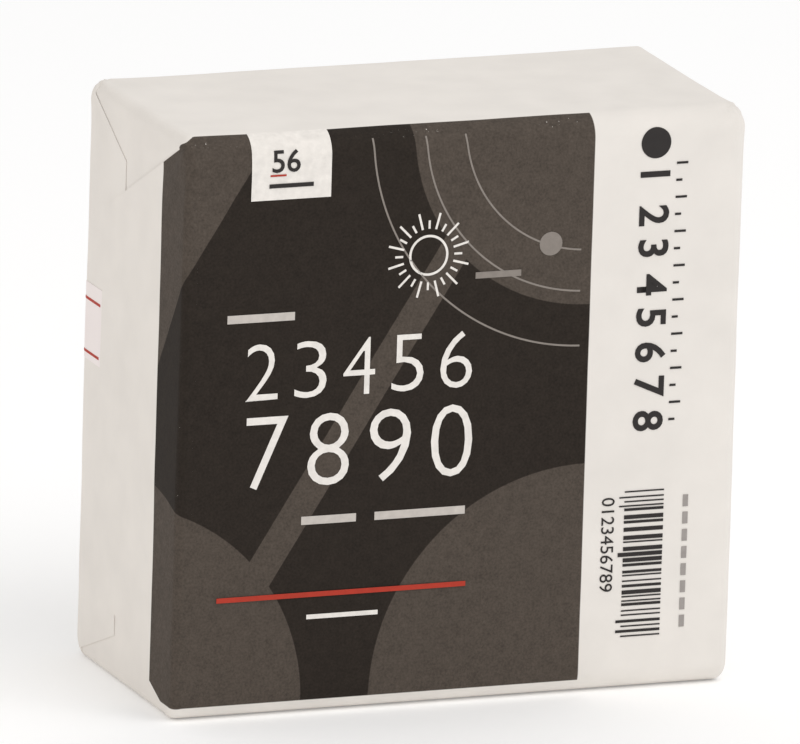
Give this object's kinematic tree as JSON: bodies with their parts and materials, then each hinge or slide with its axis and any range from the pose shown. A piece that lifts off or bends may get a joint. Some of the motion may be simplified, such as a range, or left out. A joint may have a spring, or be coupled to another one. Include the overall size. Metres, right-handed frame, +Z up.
{
  "type": "gymnastics chalk block in a paper wrapper",
  "caption": "Pressed magnesium carbonate chalk block with rounded edges, folded and glued into a paper wrapper whose end flaps open on their creases.",
  "frame": {"origin": "middle of the footprint, on the surface that the block stands on", "axes": "+Z up, X along the width, the broad printed front faces -Y, the lapped back faces +Y"},
  "size_m": [0.0636, 0.0306, 0.0635],
  "materials": {
    "wrapping_paper": "matte",
    "pressed_chalk": "matte",
    "adhesive": "satin",
    "sticker_paper": "satin"
  },
  "bodies": {
    "packet": {"chalk_block": "pressed_chalk", "wrapper_sleeve": "wrapping_paper", "lap_glue_strip": "adhesive"},
    "left_front_flap": {"left_front_flap": "wrapping_paper"},
    "left_back_flap": {"left_back_flap": "wrapping_paper", "left_end_glue": "adhesive", "side_label": "sticker_paper"},
    "left_top_tuck": {"left_top_tuck": "wrapping_paper"},
    "left_bottom_tuck": {"left_bottom_tuck": "wrapping_paper"},
    "right_front_flap": {"right_front_flap": "wrapping_paper"},
    "right_back_flap": {"right_back_flap": "wrapping_paper", "right_end_glue": "adhesive"},
    "right_top_tuck": {"right_top_tuck": "wrapping_paper"},
    "right_bottom_tuck": {"right_bottom_tuck": "wrapping_paper"}
  },
  "joints": [
    {"name": "left_front_flap_crease", "type": "hinge", "parent": "packet", "child": "left_front_flap", "pos_m": [-0.03175, -0.01525, 0.03175], "axis": [0, 0, 1], "range_deg": [0, 90]},
    {"name": "left_back_flap_crease", "type": "hinge", "parent": "packet", "child": "left_back_flap", "pos_m": [-0.03145, 0.01525, 0.03175], "axis": [0, 0, -1], "range_deg": [0, 90]},
    {"name": "left_top_tuck_crease", "type": "hinge", "parent": "packet", "child": "left_top_tuck", "pos_m": [-0.03115, 0, 0.0635], "axis": [0, 1, 0], "range_deg": [0, 90]},
    {"name": "left_bottom_tuck_crease", "type": "hinge", "parent": "packet", "child": "left_bottom_tuck", "pos_m": [-0.03115, 0, 0], "axis": [0, -1, 0], "range_deg": [0, 90]},
    {"name": "right_front_flap_crease", "type": "hinge", "parent": "packet", "child": "right_front_flap", "pos_m": [0.03175, -0.01525, 0.03175], "axis": [0, 0, -1], "range_deg": [0, 90]},
    {"name": "right_back_flap_crease", "type": "hinge", "parent": "packet", "child": "right_back_flap", "pos_m": [0.03145, 0.01525, 0.03175], "axis": [0, 0, 1], "range_deg": [0, 90]},
    {"name": "right_top_tuck_crease", "type": "hinge", "parent": "packet", "child": "right_top_tuck", "pos_m": [0.03115, 0, 0.0635], "axis": [0, -1, 0], "range_deg": [0, 90]},
    {"name": "right_bottom_tuck_crease", "type": "hinge", "parent": "packet", "child": "right_bottom_tuck", "pos_m": [0.03115, 0, 0], "axis": [0, 1, 0], "range_deg": [0, 90]}
  ],
  "couplings": [
    {"joint": "left_back_flap_crease", "follows": "left_front_flap_crease", "ratio": 1},
    {"joint": "left_top_tuck_crease", "follows": "left_front_flap_crease", "ratio": 1},
    {"joint": "left_bottom_tuck_crease", "follows": "left_front_flap_crease", "ratio": 1},
    {"joint": "right_back_flap_crease", "follows": "right_front_flap_crease", "ratio": 1},
    {"joint": "right_top_tuck_crease", "follows": "right_front_flap_crease", "ratio": 1},
    {"joint": "right_bottom_tuck_crease", "follows": "right_front_flap_crease", "ratio": 1}
  ]
}
